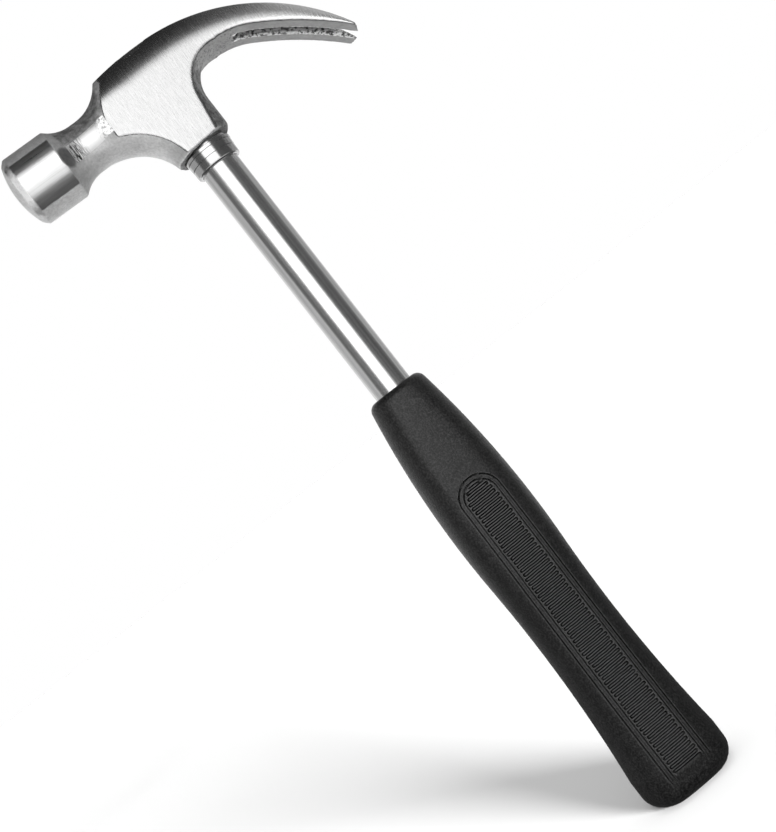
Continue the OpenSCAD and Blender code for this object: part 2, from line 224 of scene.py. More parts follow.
HOOK_SPAN, HOOK_SHADE_TOP, HOOK_SHADE_FADE = (4.0, 8.0), 309.0, 3.0
FOOT_SHADE, FOOT_FACING, FOOT_TOP, FOOT_HALF, FOOT_FADE = 0.3, (0.7, 0.9), 287.0, 13.0, 1.0
SLOT_FLOOR_SHADE = 0.28


def buffed_share(at, facing):
    """Where the head is ground and buffed: cheeks behind the front crease, crown, and top of the claw."""
    x, y, z = at.T
    nx, ny, nz = facing.T
    from_crease = x - CREASE_X - CREASE_LEAN * ramp(z, *CREASE_SPAN) ** CREASE_CURVE
    behind_crease = ramp(from_crease, -CREASE_BLUR, CREASE_BLUR)
    low_edge = LOW_EDGE_TRIM * ramp(-nz, *LOW_EDGE_FACING) * ramp(-x, *LOW_EDGE_SPAN)
    slot_lips = ramp(x, *LIP_SPAN) * ramp(LIP_HALF - np.abs(y), 0.0, LIP_BLUR)
    cheek = behind_crease * ramp(np.abs(ny) - low_edge, *CHEEK_FACING) * (1.0 - slot_lips)
    hook = ramp(nx, *HOOK_SKIN_FACING) * ramp(CLAW_X - x, 0.0, CLAW_BLUR)
    hook *= ramp(HOOK_SKIN_TOP - z, 0.0, CLAW_BLUR)
    crown = behind_crease * ramp(nz, *CROWN_FACING) * (1.0 - hook)
    claw_top = ramp(x - CLAW_X, 0.0, CLAW_BLUR) * ramp(nz + CLAW_SLANT * nx, *CROWN_FACING)
    return np.maximum.reduce([cheek, crown, claw_top])


def blurred(piece, values, times):
    """Values of the corners of a piece, each averaged with its neighbours a few times."""
    ends = np.empty(2 * len(piece.data.edges), dtype=np.int32)
    piece.data.edges.foreach_get("vertices", ends)
    first, second = ends.reshape(-1, 2).T
    count = len(values)
    neighbours = np.bincount(ends, minlength=count)
    for _ in range(times):
        total = np.bincount(first, values[second], count) + np.bincount(second, values[first], count)
        values = (values + total / neighbours) / 2
    return values


def slot_share(at, facing):
    """Where the nail slot is, which stays sandy from the die."""
    x, y, z = at.T
    nx, ny, nz = facing.T
    under_claw = ramp(-nz - CLAW_SLANT * nx, *SLOT_FACING)
    return ramp(x, *SLOT_SPAN) * ramp(SLOT_HALF - np.abs(y), 0.0, SLOT_BLUR) * under_claw


def lit(shade, share):
    """A brightness that goes from 1 to a shade as the share goes from 0 to 1."""
    return 1.0 + (shade - 1.0) * share


def skin_shade(at, facing, in_slot):
    """Brightness of the forged skin from place to place, partly painted light and shade. The plain skin has
    1.
    """
    x, y, z = at.T
    nx, ny, nz = facing.T
    on_poll = ramp(-x, *POLL_SPAN)
    # The poll is lighter, and painted shade darkens the upper side of its forged ring.
    shade = lit(POLL_SHADE, on_poll) * lit(POLL_TOP_SHADE, on_poll * ramp(nz, *POLL_TOP_FACING))
    # A painted highlight on the rim round the face, brightest level with the middle of the poll band, and
    # painted shade where the rim meets the band's ends.
    off_band = np.abs(np.degrees(np.arctan2(z - POLL_AXIS_Z, np.abs(y))) - BAND_MIDDLE)
    rim_shade = POLL_SHADE + (RIM_SHADE - POLL_SHADE) * ramp(-off_band, *RIM_GLINT)
    rim_shade -= RIM_DIP * ramp(off_band, *RIM_DIP_FROM) * ramp(-off_band, *RIM_DIP_TO)
    shade += (rim_shade - POLL_SHADE) * ramp(-x, *RIM_SPAN)
    shade += (FACE_SHADE - rim_shade) * ramp(-x, *FACE_SPAN)
    # Painted shade on the top of the neck.
    neck = ramp(x, *NECK_FRONT) * ramp(-x, *NECK_REAR)
    shade *= lit(NECK_TOP_SHADE, neck * ramp(z, *NECK_TOP_Z))
    # Painted light on the undersides of the neck and throat.
    shade *= lit(THROAT_SHADE, ramp(-nz, *THROAT_FACING) * ramp(x, *THROAT_FRONT) * ramp(-x, *THROAT_REAR))
    # Painted shade on the inner face of the hook, under the claw.
    hook = ramp(nx, *HOOK_FACING) * ramp(x, *HOOK_SPAN) * ramp(HOOK_SHADE_TOP - z, 0.0, HOOK_SHADE_FADE)
    shade *= lit(HOOK_SHADE, hook)
    # Painted shade on the underside of the boss, in the gap over the collar.
    boss_foot = ramp(-nz, *FOOT_FACING) * ramp(FOOT_TOP - z, 0.0, FOOT_FADE)
    shade *= lit(FOOT_SHADE, boss_foot * ramp(FOOT_HALF - np.abs(x), 0.0, FOOT_FADE))
    # Painted shade deep in the nail slot.
    return shade * lit(SLOT_FLOOR_SHADE, in_slot * ramp(SLOT_FLOOR_HALF - np.abs(y), 0.0, SLOT_FLOOR_BLUR))


at, facing = corner_data(head)
buffed = buffed_share(at, facing)
paint(head, "buffed", buffed)
near_border = blurred(head, buffed, BURR_SPREAD)
paint(head, "burr", 4.0 * near_border * (1.0 - near_border))
in_slot = slot_share(at, facing)
paint(head, "slot", in_slot)
sandy = in_slot > 0
sand = np.array([noise.noise(Vector(spot) * SAND_FINENESS) for spot in at[sandy]])
at[sandy] += facing[sandy] * (SAND_RELIEF * sand * in_slot[sandy])[:, None]
place_corners(head, at)
paint(head, "shade", skin_shade(at, facing, in_slot) / SHADE_SPAN)

# The steel of the head: a fine belt grain on the buffed cheeks and crown, a band ground lengthwise on each
# side of the poll with a bite taken out of it at the neck, painted shade in the hollow by the bite, the
# marked flat of the neck, and elsewhere the forged skin, mottled where its painted shade is dark and pitted
# round the hook.
POLL_BAND_X, POLL_BAND_BLUR = (-59.3, -43.1), 0.15
POLL_BAND_TURN, POLL_TURN_BLUR = (math.radians(-53), math.radians(33)), math.radians(0.7)
STRIP_X, STRIP_END_BLUR = (-39.6, -22.8), 0.2
STRIP_HALF, STRIP_SIDE_BLUR = 3.4, 0.12
STRIP_SLOPE, STRIP_Z = 0.085, 310.55
BITE_X, BITE_LONG, BITE_HIGH = -41.4, 2.3, 4.0
BITE_EDGE, CRESCENT_EDGE, CRESCENT_SHADE = (0.95, 1.05), (1.2, 0.7), (1.0, 0.35)
BELT_LINES, BELT_LEAN = (3600.0, 500.0, 260.0), math.radians(8)
BORDER_RAG, BORDER_EDGE = (-0.4, 0.4), (0.38, 0.62)
POLL_LINES = (30.0, 900.0, 900.0)
STRIP_LINES, STRIP_LEAN = (1900.0, 300.0, 330.0), math.radians(-4)
STRIP_SPECKS, SPECK_LIFT, STRIP_CHANGE = (1500.0, 1100.0, 1100.0), 0.07, (-33.0, -29.0)
STRIP_FRONT_END, STRIP_REAR_END, STRIP_REAR_SHARE = (-33.0, -37.0), (-29.0, -25.0), 0.7
STRIP_MARK, STRIP_TONE = (0.56, 0.44), (0.78, 0.04)
SKIN_GRAIN, BLOTCH_GRAIN, MOTTLE_GRAIN, SAND_GRAIN = 1100.0, 180.0, 420.0, 950.0
NOISE_SPAN, MOTTLE_SPAN = (0.3, 0.7), (0.32, 0.68)
SKIN_TONE, BLOTCH_TONE, MOTTLE_TONE = (0.31, 0.42), (0.85, 1.12), (0.45, 1.6)
MOTTLED_SHADE = (0.95, 0.75)
BURR_RAG, BURR_EDGE, BURR_TONE = (-0.6, 0.6), (0.45, 0.75), (1.0, 0.15)
PIT_EDGE, PIT_X, PIT_FADE, PIT_TONE = (0.44, 0.39), (8.0, 34.0), 2.0, (1.0, 0.3)
SAND_EDGE, SAND_TONE, SAND_HEIGHT = (0.42, 0.51), (0.1, 1.0), 5.0
BELT_SPAN, BELT_TONE, BELT_HEIGHT = (0.25, 0.75), (0.38, 0.53), 0.8
POLL_GAIN, CLAW_GAIN, CLAW_GAIN_X = (1.0, 1.58), (1.0, 1.45), (15.0, 60.0)
SKIN_ROUGH, SAND_ROUGH, BELT_ROUGH = (0.5, 0.64), (0.3, 0.5), (0.2, 0.32)
POLL_ROUGH, STRIP_ROUGH = (0.24, 0.36), (0.36, 0.5)
STEEL_METALLIC, STEEL_SPECULAR, STEEL_RELIEF = (0.6, 1.0), 0.4, 0.05


class Finish:
    """A material built by short calls, which take numbers, colours or the outputs of nodes."""

    def __init__(self, name):
        self.material = bpy.data.materials.new(name)
        self.material.use_nodes = True
        self.shader = self.material.node_tree.nodes["Principled BSDF"]

    def give(self, socket, value):
        if isinstance(value, bpy.types.NodeSocket):
            self.material.node_tree.links.new(value, socket)
        else:
            socket.default_value = value

    def feed(self, inputs, values):
        for key, value in values.items():
            self.give(inputs[key.replace("_", " ")], value)

    def surface(self, **values):
        self.feed(self.shader.inputs, values)

    def node(self, kind, **values):
        node = self.material.node_tree.nodes.new("ShaderNode" + kind)
        self.feed(node.inputs, values)
        return node

    def place(self):
        return self.node("TexCoord").outputs["Object"]

    def place_mm(self):
        scaled = self.node("Mapping", Vector=self.place(), Scale=(1 / MM, 1 / MM, 1 / MM))
        return self.node("SeparateXYZ", Vector=scaled.outputs["Vector"]).outputs

    def streaks(self, stretch, lean=0.0, turn=0.0):
        """Noise with so many grains to the metre on each axis, as a belt, a die or a mould leaves it."""
        spot = self.node("Mapping", Vector=self.place(), Scale=stretch, Rotation=(0.0, lean, turn))
        grain = self.node("TexNoise", Vector=spot.outputs["Vector"], Scale=1.0, Detail=4.0, Roughness=0.6)
        return grain.outputs["Fac"]

    def grain(self, fineness):
        return self.streaks((fineness, fineness, fineness))

    def calc(self, operation, *values):
        node = self.node("Math")
        node.operation = operation
        for socket, value in zip(node.inputs, values):
            self.give(socket, value)
        return node.outputs["Value"]

    def times(self, first, *others):
        for other in others:
            first = self.calc("MULTIPLY", first, other)
        return first

    def spread(self, value, low, high):
        """Lays a value that goes from 0 to 1 out between two levels."""
        return self.node("MapRange", Value=value, To_Min=low, To_Max=high).outputs["Result"]

    def edge(self, value, start, end):
        """0 before start and 1 after end, along a value."""
        return self.node("MapRange", Value=value, From_Min=start, From_Max=end).outputs["Result"]

    def zone(self, value, low, high, blur):
        """1 from low to high along a value, with blurred ends."""
        rise = self.edge(value, low - blur, low + blur)
        return self.times(rise, self.edge(value, high + blur, high - blur))

    def mix(self, share, first, second):
        return self.node("Mix", Factor=share, A=first, B=second).outputs["Result"]

    def painted(self, name):
        node = self.node("Attribute")
        node.attribute_name = name
        return node.outputs["Fac"]

    def grey(self, tone):
        return self.node("CombineColor", Red=tone, Green=tone, Blue=tone).outputs["Color"]

    def relief(self, height, depth):
        return self.node("Bump", Height=height, Distance=depth * MM).outputs["Normal"]


steel = Finish("head_steel")
place = steel.place_mm()
along, across, up = place["X"], place["Y"], place["Z"]
round_poll = steel.calc("ARCTAN2", steel.calc("SUBTRACT", up, POLL_AXIS_Z), steel.calc("ABSOLUTE", across))
from_strip = steel.calc("SUBTRACT", up, steel.calc("MULTIPLY_ADD", along, STRIP_SLOPE, STRIP_Z))
bite_along = steel.calc("DIVIDE", steel.calc("SUBTRACT", along, BITE_X), BITE_LONG)
bite_up = steel.calc("DIVIDE", from_strip, BITE_HIGH)
from_bite = steel.calc("ADD", steel.times(bite_along, bite_along), steel.times(bite_up, bite_up))
poll_band = steel.times(steel.zone(along, *POLL_BAND_X, POLL_BAND_BLUR),
                        steel.zone(round_poll, *POLL_BAND_TURN, POLL_TURN_BLUR),
                        steel.edge(from_bite, *BITE_EDGE))
strip = steel.times(steel.zone(along, *STRIP_X, STRIP_END_BLUR),
                    steel.zone(from_strip, -STRIP_HALF, STRIP_HALF, STRIP_SIDE_BLUR))
belt = steel.streaks(BELT_LINES, lean=BELT_LEAN)
ragged = steel.calc("ADD", steel.painted("buffed"), steel.spread(belt, *BORDER_RAG))
buffed = steel.edge(ragged, *BORDER_EDGE)
bright = steel.calc("MAXIMUM", buffed, steel.calc("MAXIMUM", poll_band, strip))

poll_grain = steel.streaks(POLL_LINES)
strip_lines = steel.streaks(STRIP_LINES, lean=STRIP_LEAN)
strip_specks = steel.calc("ADD", steel.streaks(STRIP_SPECKS), SPECK_LIFT)
strip_marks = steel.mix(steel.edge(along, *STRIP_CHANGE), strip_lines, strip_specks)
grain = steel.mix(strip, steel.mix(poll_band, belt, poll_grain), strip_marks)
belt_tone = steel.times(steel.spread(steel.edge(grain, *BELT_SPAN), *BELT_TONE),
                        steel.spread(poll_band, *POLL_GAIN),
                        steel.spread(steel.edge(along, *CLAW_GAIN_X), *CLAW_GAIN))
strip_ends = steel.calc("MAXIMUM", steel.edge(along, *STRIP_FRONT_END),
                        steel.times(steel.edge(along, *STRIP_REAR_END), STRIP_REAR_SHARE))
strip_dark = steel.times(strip_ends, steel.edge(strip_marks, *STRIP_MARK))
bright_tone = steel.mix(strip, belt_tone, steel.spread(strip_dark, *STRIP_TONE))

skin = steel.grain(SKIN_GRAIN)
blotches = steel.edge(steel.grain(BLOTCH_GRAIN), *NOISE_SPAN)
mottle = steel.edge(steel.grain(MOTTLE_GRAIN), *MOTTLE_SPAN)
sand = steel.grain(SAND_GRAIN)
in_slot = steel.painted("slot")
# The forged skin's painted light and shade, as laid on its corners.
shade = steel.times(steel.painted("shade"), SHADE_SPAN)
burr = steel.calc("ADD", steel.painted("burr"), steel.spread(skin, *BURR_RAG))
pits = steel.times(steel.edge(skin, *PIT_EDGE), steel.zone(along, *PIT_X, PIT_FADE))
# Painted shade in the hollow between the poll's back edge and the flat of the neck.
crescent_shade = steel.edge(from_bite, *CRESCENT_EDGE)
skin_tone = steel.times(steel.spread(steel.edge(skin, *NOISE_SPAN), *SKIN_TONE),
                        steel.spread(blotches, *BLOTCH_TONE),
                        steel.mix(steel.edge(shade, *MOTTLED_SHADE), 1.0, steel.spread(mottle, *MOTTLE_TONE)),
                        shade,
                        steel.spread(crescent_shade, *CRESCENT_SHADE),
                        steel.spread(steel.edge(burr, *BURR_EDGE), *BURR_TONE),
                        steel.spread(pits, *PIT_TONE))
sand_tone = steel.times(steel.spread(steel.edge(sand, *SAND_EDGE), *SAND_TONE), shade)
raw_tone = steel.mix(in_slot, skin_tone, sand_tone)

raw_rough = steel.mix(in_slot, steel.spread(skin, *SKIN_ROUGH), steel.spread(sand, *SAND_ROUGH))
fine_rough = steel.mix(poll_band, steel.spread(belt, *BELT_ROUGH), steel.spread(poll_grain, *POLL_ROUGH))
fine_rough = steel.mix(strip, fine_rough, steel.spread(strip_marks, *STRIP_ROUGH))
raw_height = steel.mix(in_slot, skin, steel.times(sand, SAND_HEIGHT))
height = steel.mix(bright, raw_height, steel.times(grain, BELT_HEIGHT))
steel.surface(Base_Color=steel.grey(steel.mix(bright, raw_tone, bright_tone)),
              Metallic=steel.spread(bright, *STEEL_METALLIC),
              Roughness=steel.mix(bright, raw_rough, fine_rough),
              Specular_IOR_Level=STEEL_SPECULAR,
              Normal=steel.relief(height, STEEL_RELIEF))
head.data.materials.append(steel.material)
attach(head, "root")
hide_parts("head")

# Handle tube: drawn steel tube, chromed bright and open inside. Its top end runs up through the eye of the
# head, is spread a little there and dressed flush with the crown; its foot stands in the closed grip.
TUBE_R, TUBE_BORE_R = 7.4, 5.6
TUBE_FOOT = 12.0
TUBE_RINGS = (TUBE_FOOT, 100.0, 176.0, 226.0, 276.0, 310.0)
TUBE_SIDES = 128
SPREAD_R, SPREAD_RISE, SPREAD_LOW, SPREAD_HIGH = 7.85, 1.5, 0.3, 0.04
EDGE_IN, EDGE_DOWN = 0.08, 0.1
TUBE_END_RINGS = (7.4, 6.8, 6.2)
DRESSED_ABOVE = 320.0
TUBE_SINK = 0.1
DRAWN_LINES, DRAWN_SPAN = (900.0, 900.0, 9.0), (0.25, 0.75)
DRAWN_TONE, DRAWN_ROUGH, DRAWN_RELIEF = (0.46, 0.9), (0.16, 0.32), 0.01
TURNED_MERGE, TURNED_SMOOTH = 0.03, math.radians(35)


def turned(name, outline, sides):
    """A turned piece: a ring drawn along its outline of (radius, height) points."""
    radius, height = outline[0]
    bpy.ops.object.select_all(action="DESELECT")
    bpy.ops.mesh.primitive_circle_add(vertices=sides, radius=radius * MM)
    piece = bpy.context.object
    piece.name = name
    edit_all(piece)
    bpy.ops.transform.translate(value=(0, 0, height * MM))
    for next_radius, next_height in outline[1:]:
        rise = (0, 0, (next_height - height) * MM)
        bpy.ops.mesh.extrude_region_move(TRANSFORM_OT_translate={"value": rise})
        grow = next_radius / radius
        bpy.ops.transform.resize(value=(grow, grow, 1), center_override=(0, 0, 0))
        radius, height = next_radius, next_height
    bpy.ops.mesh.select_all(action="SELECT")
    bpy.ops.mesh.remove_doubles(threshold=TURNED_MERGE * MM)
    bpy.ops.mesh.normals_make_consistent(inside=False)
    bpy.ops.object.mode_set(mode="OBJECT")
    bpy.ops.object.shade_smooth_by_angle(angle=TURNED_SMOOTH)
    return piece


def dress_to_crown(piece, sink):
    """Lays the top of a piece along the rolled crown, a little below its surface."""
    at = corner_data(piece)[0]
    x, y, z = at.T
    drop = CROWN_ROLL * (1.0 - np.sqrt(1.0 - ramp(np.abs(y), CROWN_FLAT, CHEEK_HALF) ** 2))
    arc_r = crown_arc_r(x)
    crown = HEAD_TOP - arc_r + np.sqrt(arc_r ** 2 - (x - CROWN_PEAK) ** 2) - drop
    z[:] = np.where(z > DRESSED_ABOVE, crown - sink + z - HEAD_TOP, z)
    place_corners(piece, at)


tube_wall = [(TUBE_R, ring) for ring in TUBE_RINGS]
tube_spread = [(TUBE_R, HEAD_TOP - SPREAD_RISE), (SPREAD_R, HEAD_TOP - SPREAD_LOW),
               (SPREAD_R, HEAD_TOP - SPREAD_HIGH)]
tube_end = [(ring, HEAD_TOP) for ring in TUBE_END_RINGS]
tube_bore = [(TUBE_BORE_R + EDGE_IN, HEAD_TOP), (TUBE_BORE_R, HEAD_TOP - EDGE_DOWN),
             (TUBE_BORE_R, TUBE_RINGS[-1]), (TUBE_BORE_R, TUBE_FOOT), (TUBE_R, TUBE_FOOT)]
tube = turned("handle_tube_chromed", tube_wall + tube_spread + tube_end + tube_bore, TUBE_SIDES)
dress_to_crown(tube, TUBE_SINK)
chrome = Finish("tube_chrome")
drawn = chrome.streaks(DRAWN_LINES)
chrome.surface(Base_Color=chrome.grey(chrome.spread(chrome.edge(drawn, *DRAWN_SPAN), *DRAWN_TONE)),
               Metallic=1.0,
               Roughness=chrome.spread(drawn, *DRAWN_ROUGH),
               Normal=chrome.relief(drawn, DRAWN_RELIEF))
tube.data.materials.append(chrome.material)
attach(tube, "root")
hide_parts("handle_tube")

# Collar: turned steel ferrule pushed up the tube, with a spigot in the seat under the boss. It has three
# steps with fine turned grooves between them, and ends in a small rolled rim on the tube.
COLLAR_BORE_R, SPIGOT_R = 7.45, 8.3
COLLAR_FOOT, COLLAR_TOP = 275.6, 285.6
COLLAR_SIDES = 128
COLLAR_GREY = (0.5, 0.5, 0.5, 1)
TURNED_LINES, TURNED_ROUGH, TURNED_RELIEF = (25.0, 25.0, 2600.0), (0.14, 0.24), 0.002
bore_edge = (COLLAR_BORE_R, COLLAR_FOOT + 0.15)
rolled_rim = [bore_edge, (7.6, COLLAR_FOOT), (8.25, COLLAR_FOOT), (8.6, COLLAR_FOOT + 0.1),
              (8.85, COLLAR_FOOT + 0.35), (8.95, COLLAR_FOOT + 0.7)]
low_step = [(9.0, 278.85), (8.6, 278.95), (8.6, 279.2)]
middle_step = [(9.1, 279.3), (9.2, 281.4), (8.8, 281.5), (8.8, 281.75)]
top_step = [(9.35, 281.85), (9.45, 282.9), (9.3, 283.05)]
spigot = [(SPIGOT_R, 283.1), (SPIGOT_R, COLLAR_TOP), (COLLAR_BORE_R, COLLAR_TOP), bore_edge]
collar = turned("collar_ferrule", rolled_rim + low_step + middle_step + top_step + spigot, COLLAR_SIDES)
ferrule_steel = Finish("collar_steel")
turning = ferrule_steel.streaks(TURNED_LINES)
ferrule_steel.surface(Base_Color=COLLAR_GREY,
                      Metallic=1.0,
                      Roughness=ferrule_steel.spread(turning, *TURNED_ROUGH),
                      Normal=ferrule_steel.relief(turning, TURNED_RELIEF))
collar.data.materials.append(ferrule_steel.material)
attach(collar, "root")
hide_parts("collar")

# Eye plug: a steel plug driven into the top of the tube to spread it in the eye, and then ground off together
# with the crown.
PLUG_R, PLUG_FOOT, PLUG_CHAMFER = 5.55, 305.0, 0.5
PLUG_END_RINGS = (4.6, 3.4, 2.3, 1.2)
PLUG_TIP_R = 0.01
PLUG_SIDES = 64
PLUG_SINK = 0.12
PLUG_GREY = (0.6, 0.6, 0.61, 1)
GROUND_LINES, GROUND_TURN = (1200.0, 120.0, 1200.0), math.radians(12)
GROUND_ROUGH, GROUND_RELIEF = (0.25, 0.42), 0.02
plug_foot = [(PLUG_TIP_R, PLUG_FOOT), (PLUG_R - PLUG_CHAMFER, PLUG_FOOT),
             (PLUG_R, PLUG_FOOT + PLUG_CHAMFER)]
plug_edge = [(PLUG_R, HEAD_TOP - EDGE_DOWN), (PLUG_R - EDGE_IN, HEAD_TOP)]
plug_end = [(ring, HEAD_TOP) for ring in PLUG_END_RINGS + (PLUG_TIP_R,)]
plug = turned("eye_plug_ground", plug_foot + plug_edge + plug_end, PLUG_SIDES)
dress_to_crown(plug, PLUG_SINK)
plug_steel = Finish("plug_steel")
ground = plug_steel.streaks(GROUND_LINES, turn=GROUND_TURN)
plug_steel.surface(Base_Color=PLUG_GREY,
                   Metallic=1.0,
                   Roughness=plug_steel.spread(ground, *GROUND_ROUGH),
                   Normal=plug_steel.relief(ground, GROUND_RELIEF))
plug.data.materials.append(plug_steel.material)
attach(plug, "root")
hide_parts("eye_plug")

# Grip: one moulded sleeve of black rubber pushed onto the foot of the tube, closed at the butt. Each side has
# an arched panel: two border grooves round a long serpentine groove that leaves interlocking ribs. The sleeve
# is a grid wrapped round, because its ribs are too many and too fine to be cut one by one.
GRIP_TOP = 175.4
SWELL_W, SWELL_T, SWELL_Z = 32.9, 26.6, 115.1
WAIST_W, WAIST_T, WAIST_Z, WAIST_R = 30.6, 25.0, 70.2, 530.0
BUTT_W, BUTT_T, BUTT_ROUND = 36.8, 31.0, 6.5
SHOULDER_ROUND = 2.8
SECTION_SHARPNESS = 10.0
GRIP_LEAN, GRIP_SMOOTH = math.radians(0.45), math.radians(60)
GRIP_BORE = ((7.8, GRIP_TOP), (7.45, GRIP_TOP - 0.4), (7.45, TUBE_FOOT))
PANEL_TOP, PANEL_FOOT, PANEL_EDGE = 135.0, 8.9, 9.0
PANEL_FLARE, PANEL_SHARE = 0.07, 0.85
PANEL_FADE = (PANEL_FOOT - 1.0, PANEL_FOOT + 1.5)
BORDER_OUT, BORDER_IN, BORDER_HALF, BORDER_DEPTH = 8.07, 6.3, 0.2, 0.84
RIM_OFF, RIM_HALF, RIM_RISE, RIM_SHEEN = 0.42, 0.14, 0.035, 0.5
RIB_HALF, RIB_TOP, RIB_FOOT = 5.3, 132.0, 10.7
RUNS, RUN_PITCH, RUN_HALF, RUN_DEPTH = 135, 0.9, 0.24, 1.2
GROOVE_SQUARENESS = 8
SHEEN_HALF, SHEEN_REACH, SHEEN_FADE, SHEEN_FOOT = 0.311, 0.65, 0.15, 0.3
CUT_PLAY, CUT_RATE, CUT_SWAY, CUT_SWAY_ACROSS, CUT_SWAY_UP = 0.15, 1.3, 2.0, 0.8, 0.37
RIB_WAVE, WAVE_RATES, WAVE_SIDE, WAVE_END = 0.07, ((0.9, 0.55), (-0.4, 0.37)), 0.6, 2.0
END_PLAY, PLAY_SEED = 0.3, 7
RUN_STEPS = np.array([-0.28, 0.0, 0.28, 0.45])
BORDER_STEPS = np.array([-0.42, -0.25, -0.12, 0.0, 0.12, 0.25, 0.42])
ROUND_STEPS = np.radians(np.linspace(0, 84, 8))
FOOT_START, FOOT_STEP = BUTT_ROUND * 0.9 + 0.6, 0.4
ARCH_START, ARCH_END, ARCH_STEP = RIB_TOP + 0.6, PANEL_TOP + 1.2, 0.3
PLAIN_START, PLAIN_ROWS = PANEL_TOP + 2.0, 22
FLANK_COLUMNS, OUTLINE_TRIES = 13, 12
NO_RUN = 9.0
run_play = np.random.default_rng(PLAY_SEED).uniform(-END_PLAY, END_PLAY, RUNS + 4)


def bowed_half(height, swell, waist):
    """Half width: a hollow arc round the waist that runs into the fuller arc of the swell."""
    step = (swell - waist) / 2
    rise = SWELL_Z - WAIST_Z
    both_r = (step ** 2 + rise ** 2) / (2 * step)
    meet = WAIST_Z + rise * WAIST_R / both_r
    hollow = waist / 2 + WAIST_R - np.sqrt(WAIST_R ** 2 - (height - WAIST_Z) ** 2)
    swell_r = both_r - WAIST_R
    full = swell / 2 - swell_r + np.sqrt(np.maximum(swell_r ** 2 - (height - SWELL_Z) ** 2, 0.0))
    return np.where(height < meet, hollow, full)


def rounded_half(height, swell, waist, butt):
    """Half width with the rounded butt edge and the rounded shoulder."""
    low = np.sqrt(BUTT_ROUND ** 2 - np.maximum(BUTT_ROUND - height, 0.0) ** 2)
    high = np.sqrt(SHOULDER_ROUND ** 2 - np.maximum(height - GRIP_TOP + SHOULDER_ROUND, 0.0) ** 2)
    return min(bowed_half(height, swell, waist), butt / 2 - BUTT_ROUND + low) - SHOULDER_ROUND + high


def outline_reach(angle, half_w, half_t):
    """Distance from the axis to the sleeve's outline: flat sides that run into round flanks."""
    flat = half_t / np.maximum(np.sin(angle), 1e-6)
    return (half_w ** -SECTION_SHARPNESS + flat ** -SECTION_SHARPNESS) ** (-1 / SECTION_SHARPNESS)


def groove(distance, half_width):
    return np.exp(-((distance / half_width) ** GROOVE_SQUARENESS))


def serpentine(across, height):
    """Distance to a groove that runs to and fro across the panel, its runs joined at alternate ends."""
    arch = RIB_TOP - RIB_HALF
    run = np.floor((RIB_TOP - height) / RUN_PITCH)
    nearest = np.full(across.shape, NO_RUN)
    for upper in (run - 1, run, run + 1):
        middle = RIB_TOP - (upper + 0.5) * RUN_PITCH
        if not RIB_FOOT < middle < RIB_TOP:
            continue
        reach = np.sqrt(max(RIB_HALF ** 2 - max(middle - arch, 0.0) ** 2, 1.0))
        hand = 1.0 if upper % 2 == 0 else -1.0
        end = reach - RUN_PITCH / 2 + run_play[int(np.clip(upper, 0, RUNS + 3))]
        beyond = across * hand - end
        turn = np.abs(np.hypot(beyond, height - middle) - RUN_PITCH / 2)
        straight = np.abs(np.abs(height - middle) - RUN_PITCH / 2)
        here = np.where(beyond > 0, turn, np.where(np.abs(across) < end, straight, NO_RUN))
        nearest = np.minimum(nearest, here)
    return nearest


def cut_share(across, height):
    """Share of its full depth that a run has at a place, because the mould is cut unevenly."""
    sway = CUT_SWAY * np.sin(CUT_SWAY_ACROSS * across + CUT_SWAY_UP * height)
    return 1.0 - CUT_PLAY + CUT_PLAY * np.sin(CUT_RATE * height + sway)


def panel_relief(across, height):
    """Depth of the grooves below the panel, and the painted sheen on its raised rims and rib tops."""
    from_spine = np.hypot(across, np.maximum(height - PANEL_TOP + BORDER_OUT, 0.0))
    from_border = np.minimum(np.abs(from_spine - BORDER_OUT), np.abs(from_spine - BORDER_IN))
    foot = ramp(height, *PANEL_FADE)
    border = groove(from_border, BORDER_HALF) * foot
    rim = groove(from_border - RIM_OFF, RIM_HALF) * foot
    from_run = serpentine(across, height)
    run = cut_share(across, height) * groove(from_run, RUN_HALF)
    rib_top = ramp(SHEEN_REACH - from_run, 0.0, SHEEN_FADE) * (1.0 - groove(from_run, SHEEN_HALF))
    rib_top *= height > RIB_FOOT + SHEEN_FOOT
    return BORDER_DEPTH * border + RUN_DEPTH * run - RIM_RISE * rim, np.maximum(RIM_SHEEN * rim, rib_top)


def rib_wave(across, height):
    """How far the ribs stray up or down, fading out at the sides and the ends of the panel."""
    wave = RIB_WAVE * ramp(RIB_HALF + WAVE_SIDE - np.abs(across), 0.0, 1.0)
    for rate_across, rate_up in WAVE_RATES:
        wave *= np.sin(rate_across * across + rate_up * height)
    return wave * ramp(height - RIB_FOOT, 0.0, WAVE_END) * ramp(RIB_TOP - height, 0.0, WAVE_END)


